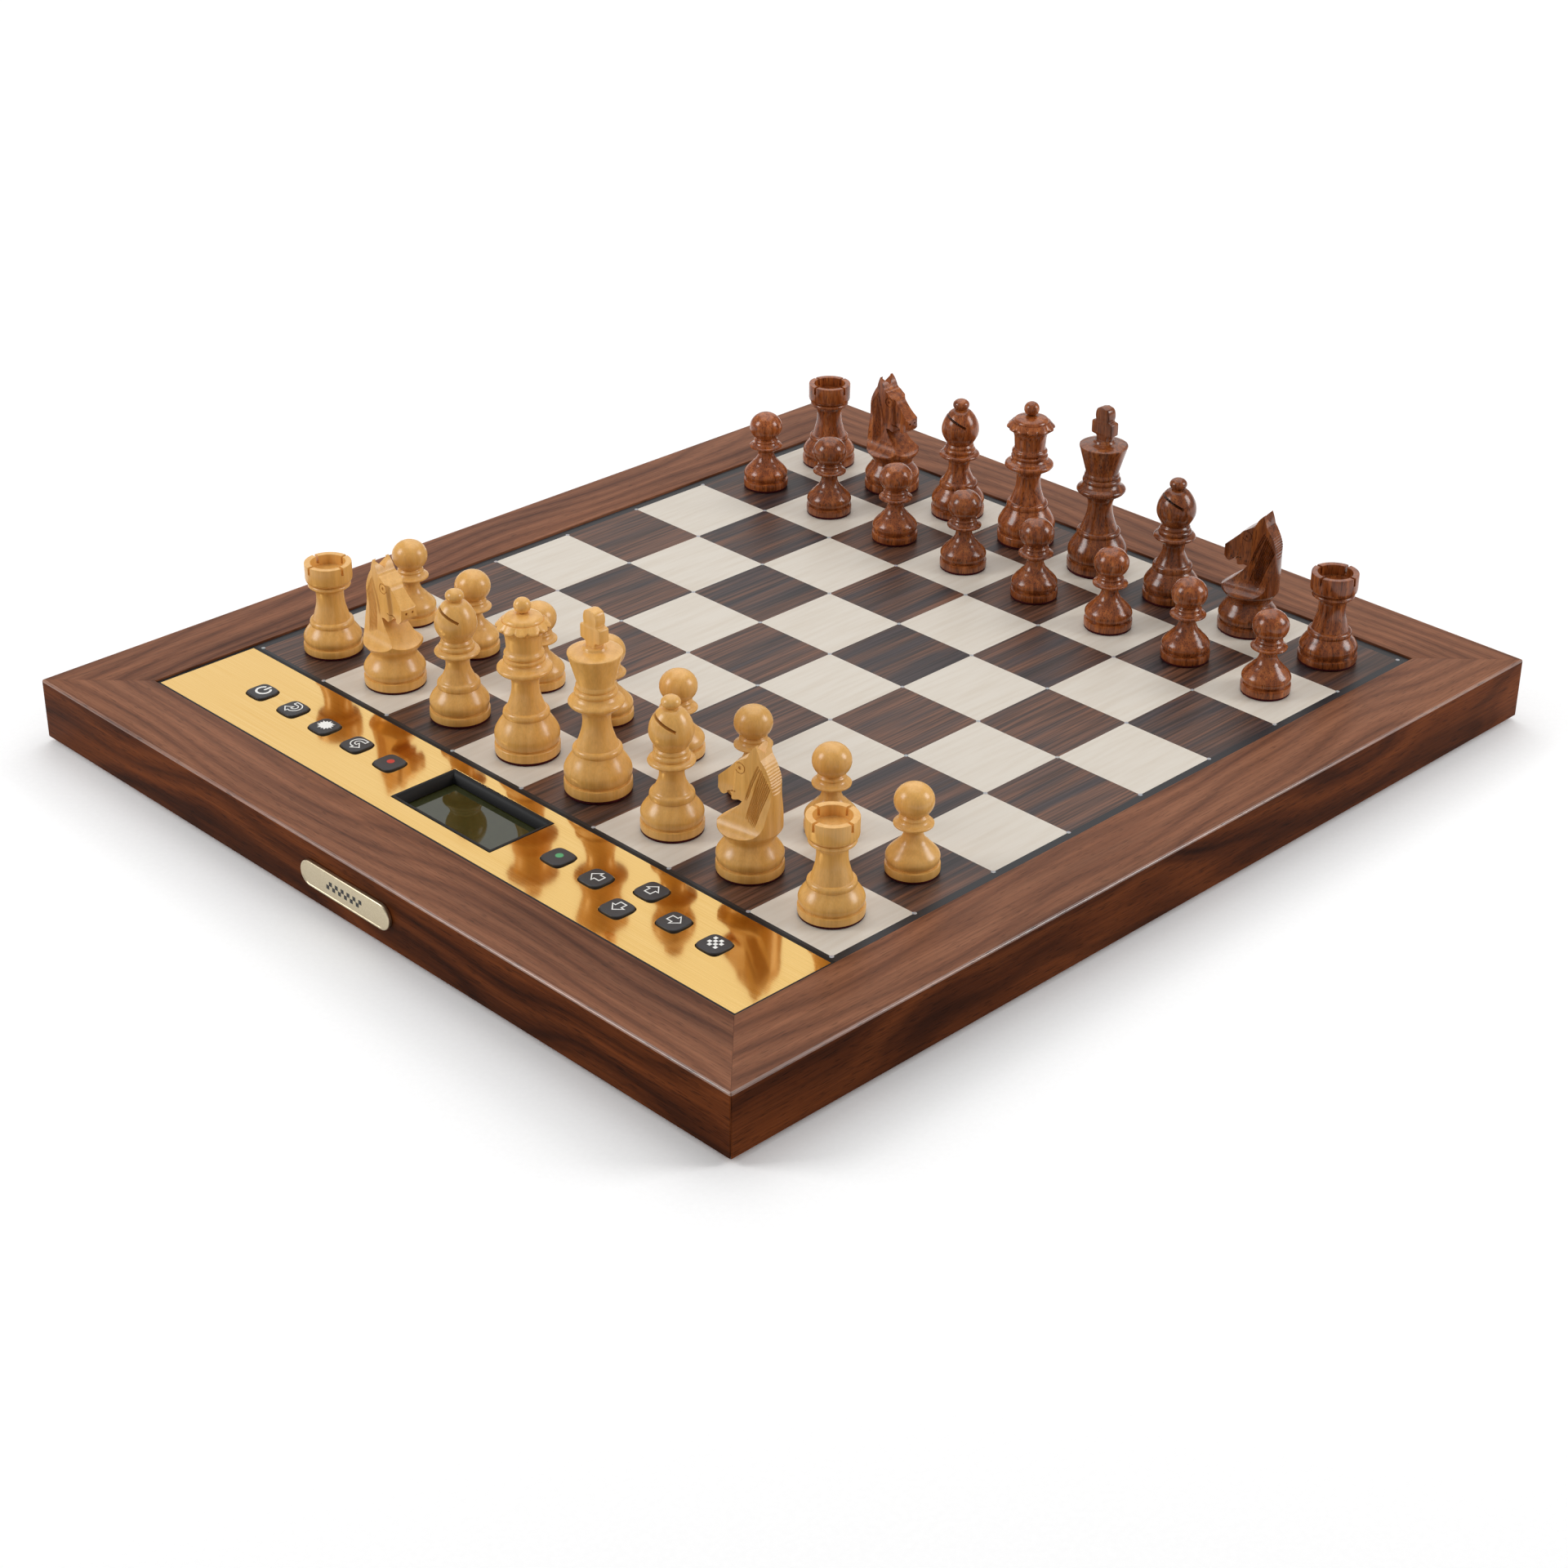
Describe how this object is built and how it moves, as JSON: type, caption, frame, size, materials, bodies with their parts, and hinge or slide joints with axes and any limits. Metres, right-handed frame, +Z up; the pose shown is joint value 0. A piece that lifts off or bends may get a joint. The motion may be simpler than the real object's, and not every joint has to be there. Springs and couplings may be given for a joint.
{
  "type": "electronic chess computer",
  "caption": "Wooden chess computer: mitred case, veneered sensor board, metal key panel with display, and turned and carved chess pieces that lift off.",
  "frame": {"origin": "on the table, under the middle of the case", "axes": "+Z up, -Y towards the player at the key panel, +X to that player's right"},
  "size_m": [0.391, 0.437, 0.099],
  "materials": {
    "walnut": "satin lacquered walnut, grain along each rail",
    "veneer": "satin veneer squares, cream maple and dark wenge, with a near-black border",
    "gold": "gold metal brushed lengthways under a clear gloss coat",
    "black_plastic": "moulded black, semi-matt",
    "display_glass": "dark olive display, glossy",
    "fibreboard": "black painted fibreboard",
    "circuit": "green solder mask",
    "key_rubber": "matt moulded silicone with printed icons",
    "foot_rubber": "matt",
    "badge_metal": "satin champagne nickel",
    "light_wood": "polished boxwood with a clear lacquer",
    "dark_wood": "glossy stained sheesham with open pores"
  },
  "bodies": {
    "case": {"front_rail": "walnut", "back_rail": "walnut", "left_rail": "walnut", "right_rail": "walnut", "playing_board": "veneer", "control_panel": "gold", "display_housing": "black_plastic", "display_module": "display_glass", "base_plate": "fibreboard", "sensor_board": "circuit", "main_board": "circuit", "power_socket": "black_plastic", "foot_front_left": "foot_rubber", "foot_front_right": "foot_rubber", "foot_back_left": "foot_rubber", "foot_back_right": "foot_rubber", "name_badge": "badge_metal"},
    "key_power": {"key_power": "key_rubber"},
    "key_back": {"key_back": "key_rubber"},
    "key_hint": {"key_hint": "key_rubber"},
    "key_forward": {"key_forward": "key_rubber"},
    "key_no": {"key_no": "key_rubber"},
    "key_yes": {"key_yes": "key_rubber"},
    "key_left": {"key_left": "key_rubber"},
    "key_up": {"key_up": "key_rubber"},
    "key_down": {"key_down": "key_rubber"},
    "key_right": {"key_right": "key_rubber"},
    "key_new_game": {"key_new_game": "key_rubber"},
    "light_rook_a": {"light_rook_a": "light_wood"},
    "light_pawn_a": {"light_pawn_a": "light_wood"},
    "light_knight_b": {"light_knight_b": "light_wood"},
    "light_pawn_b": {"light_pawn_b": "light_wood"},
    "light_bishop_c": {"light_bishop_c": "light_wood"},
    "light_pawn_c": {"light_pawn_c": "light_wood"},
    "light_queen": {"light_queen": "light_wood"},
    "light_pawn_d": {"light_pawn_d": "light_wood"},
    "light_king": {"light_king": "light_wood"},
    "light_pawn_e": {"light_pawn_e": "light_wood"},
    "light_bishop_f": {"light_bishop_f": "light_wood"},
    "light_pawn_f": {"light_pawn_f": "light_wood"},
    "light_knight_g": {"light_knight_g": "light_wood"},
    "light_pawn_g": {"light_pawn_g": "light_wood"},
    "light_rook_h": {"light_rook_h": "light_wood"},
    "light_pawn_h": {"light_pawn_h": "light_wood"},
    "dark_rook_a": {"dark_rook_a": "dark_wood"},
    "dark_pawn_a": {"dark_pawn_a": "dark_wood"},
    "dark_knight_b": {"dark_knight_b": "dark_wood"},
    "dark_pawn_b": {"dark_pawn_b": "dark_wood"},
    "dark_bishop_c": {"dark_bishop_c": "dark_wood"},
    "dark_pawn_c": {"dark_pawn_c": "dark_wood"},
    "dark_queen": {"dark_queen": "dark_wood"},
    "dark_pawn_d": {"dark_pawn_d": "dark_wood"},
    "dark_king": {"dark_king": "dark_wood"},
    "dark_pawn_e": {"dark_pawn_e": "dark_wood"},
    "dark_bishop_f": {"dark_bishop_f": "dark_wood"},
    "dark_pawn_f": {"dark_pawn_f": "dark_wood"},
    "dark_knight_g": {"dark_knight_g": "dark_wood"},
    "dark_pawn_g": {"dark_pawn_g": "dark_wood"},
    "dark_rook_h": {"dark_rook_h": "dark_wood"},
    "dark_pawn_h": {"dark_pawn_h": "dark_wood"}
  },
  "joints": [
    {"name": "key_power_press", "type": "slide", "parent": "case", "child": "key_power", "axis": [0, 0, -1], "range_m": [0, 0.0008], "stiffness_N_per_m": 600, "springref_m": -0.0004},
    {"name": "key_back_press", "type": "slide", "parent": "case", "child": "key_back", "axis": [0, 0, -1], "range_m": [0, 0.0008], "stiffness_N_per_m": 600, "springref_m": -0.0004},
    {"name": "key_hint_press", "type": "slide", "parent": "case", "child": "key_hint", "axis": [0, 0, -1], "range_m": [0, 0.0008], "stiffness_N_per_m": 600, "springref_m": -0.0004},
    {"name": "key_forward_press", "type": "slide", "parent": "case", "child": "key_forward", "axis": [0, 0, -1], "range_m": [0, 0.0008], "stiffness_N_per_m": 600, "springref_m": -0.0004},
    {"name": "key_no_press", "type": "slide", "parent": "case", "child": "key_no", "axis": [0, 0, -1], "range_m": [0, 0.0008], "stiffness_N_per_m": 600, "springref_m": -0.0004},
    {"name": "key_yes_press", "type": "slide", "parent": "case", "child": "key_yes", "axis": [0, 0, -1], "range_m": [0, 0.0008], "stiffness_N_per_m": 600, "springref_m": -0.0004},
    {"name": "key_left_press", "type": "slide", "parent": "case", "child": "key_left", "axis": [0, 0, -1], "range_m": [0, 0.0008], "stiffness_N_per_m": 600, "springref_m": -0.0004},
    {"name": "key_up_press", "type": "slide", "parent": "case", "child": "key_up", "axis": [0, 0, -1], "range_m": [0, 0.0008], "stiffness_N_per_m": 600, "springref_m": -0.0004},
    {"name": "key_down_press", "type": "slide", "parent": "case", "child": "key_down", "axis": [0, 0, -1], "range_m": [0, 0.0008], "stiffness_N_per_m": 600, "springref_m": -0.0004},
    {"name": "key_right_press", "type": "slide", "parent": "case", "child": "key_right", "axis": [0, 0, -1], "range_m": [0, 0.0008], "stiffness_N_per_m": 600, "springref_m": -0.0004},
    {"name": "key_new_game_press", "type": "slide", "parent": "case", "child": "key_new_game", "axis": [0, 0, -1], "range_m": [0, 0.0008], "stiffness_N_per_m": 600, "springref_m": -0.0004},
    {"name": "light_rook_a_lift", "type": "slide", "parent": "case", "child": "light_rook_a", "axis": [0, 0, 1], "range_m": [0, 0.08]},
    {"name": "light_pawn_a_lift", "type": "slide", "parent": "case", "child": "light_pawn_a", "axis": [0, 0, 1], "range_m": [0, 0.06]},
    {"name": "light_knight_b_lift", "type": "slide", "parent": "case", "child": "light_knight_b", "axis": [0, 0, 1], "range_m": [0, 0.08]},
    {"name": "light_pawn_b_lift", "type": "slide", "parent": "case", "child": "light_pawn_b", "axis": [0, 0, 1], "range_m": [0, 0.06]},
    {"name": "light_bishop_c_lift", "type": "slide", "parent": "case", "child": "light_bishop_c", "axis": [0, 0, 1], "range_m": [0, 0.08]},
    {"name": "light_pawn_c_lift", "type": "slide", "parent": "case", "child": "light_pawn_c", "axis": [0, 0, 1], "range_m": [0, 0.06]},
    {"name": "light_queen_lift", "type": "slide", "parent": "case", "child": "light_queen", "axis": [0, 0, 1], "range_m": [0, 0.08]},
    {"name": "light_pawn_d_lift", "type": "slide", "parent": "case", "child": "light_pawn_d", "axis": [0, 0, 1], "range_m": [0, 0.06]},
    {"name": "light_king_lift", "type": "slide", "parent": "case", "child": "light_king", "axis": [0, 0, 1], "range_m": [0, 0.08]},
    {"name": "light_pawn_e_lift", "type": "slide", "parent": "case", "child": "light_pawn_e", "axis": [0, 0, 1], "range_m": [0, 0.06]},
    {"name": "light_bishop_f_lift", "type": "slide", "parent": "case", "child": "light_bishop_f", "axis": [0, 0, 1], "range_m": [0, 0.08]},
    {"name": "light_pawn_f_lift", "type": "slide", "parent": "case", "child": "light_pawn_f", "axis": [0, 0, 1], "range_m": [0, 0.06]},
    {"name": "light_knight_g_lift", "type": "slide", "parent": "case", "child": "light_knight_g", "axis": [0, 0, 1], "range_m": [0, 0.08]},
    {"name": "light_pawn_g_lift", "type": "slide", "parent": "case", "child": "light_pawn_g", "axis": [0, 0, 1], "range_m": [0, 0.06]},
    {"name": "light_rook_h_lift", "type": "slide", "parent": "case", "child": "light_rook_h", "axis": [0, 0, 1], "range_m": [0, 0.08]},
    {"name": "light_pawn_h_lift", "type": "slide", "parent": "case", "child": "light_pawn_h", "axis": [0, 0, 1], "range_m": [0, 0.06]},
    {"name": "dark_rook_a_lift", "type": "slide", "parent": "case", "child": "dark_rook_a", "axis": [0, 0, 1], "range_m": [0, 0.08]},
    {"name": "dark_pawn_a_lift", "type": "slide", "parent": "case", "child": "dark_pawn_a", "axis": [0, 0, 1], "range_m": [0, 0.06]},
    {"name": "dark_knight_b_lift", "type": "slide", "parent": "case", "child": "dark_knight_b", "axis": [0, 0, 1], "range_m": [0, 0.08]},
    {"name": "dark_pawn_b_lift", "type": "slide", "parent": "case", "child": "dark_pawn_b", "axis": [0, 0, 1], "range_m": [0, 0.06]},
    {"name": "dark_bishop_c_lift", "type": "slide", "parent": "case", "child": "dark_bishop_c", "axis": [0, 0, 1], "range_m": [0, 0.08]},
    {"name": "dark_pawn_c_lift", "type": "slide", "parent": "case", "child": "dark_pawn_c", "axis": [0, 0, 1], "range_m": [0, 0.06]},
    {"name": "dark_queen_lift", "type": "slide", "parent": "case", "child": "dark_queen", "axis": [0, 0, 1], "range_m": [0, 0.08]},
    {"name": "dark_pawn_d_lift", "type": "slide", "parent": "case", "child": "dark_pawn_d", "axis": [0, 0, 1], "range_m": [0, 0.06]},
    {"name": "dark_king_lift", "type": "slide", "parent": "case", "child": "dark_king", "axis": [0, 0, 1], "range_m": [0, 0.08]},
    {"name": "dark_pawn_e_lift", "type": "slide", "parent": "case", "child": "dark_pawn_e", "axis": [0, 0, 1], "range_m": [0, 0.06]},
    {"name": "dark_bishop_f_lift", "type": "slide", "parent": "case", "child": "dark_bishop_f", "axis": [0, 0, 1], "range_m": [0, 0.08]},
    {"name": "dark_pawn_f_lift", "type": "slide", "parent": "case", "child": "dark_pawn_f", "axis": [0, 0, 1], "range_m": [0, 0.06]},
    {"name": "dark_knight_g_lift", "type": "slide", "parent": "case", "child": "dark_knight_g", "axis": [0, 0, 1], "range_m": [0, 0.08]},
    {"name": "dark_pawn_g_lift", "type": "slide", "parent": "case", "child": "dark_pawn_g", "axis": [0, 0, 1], "range_m": [0, 0.06]},
    {"name": "dark_rook_h_lift", "type": "slide", "parent": "case", "child": "dark_rook_h", "axis": [0, 0, 1], "range_m": [0, 0.08]},
    {"name": "dark_pawn_h_lift", "type": "slide", "parent": "case", "child": "dark_pawn_h", "axis": [0, 0, 1], "range_m": [0, 0.06]}
  ]
}
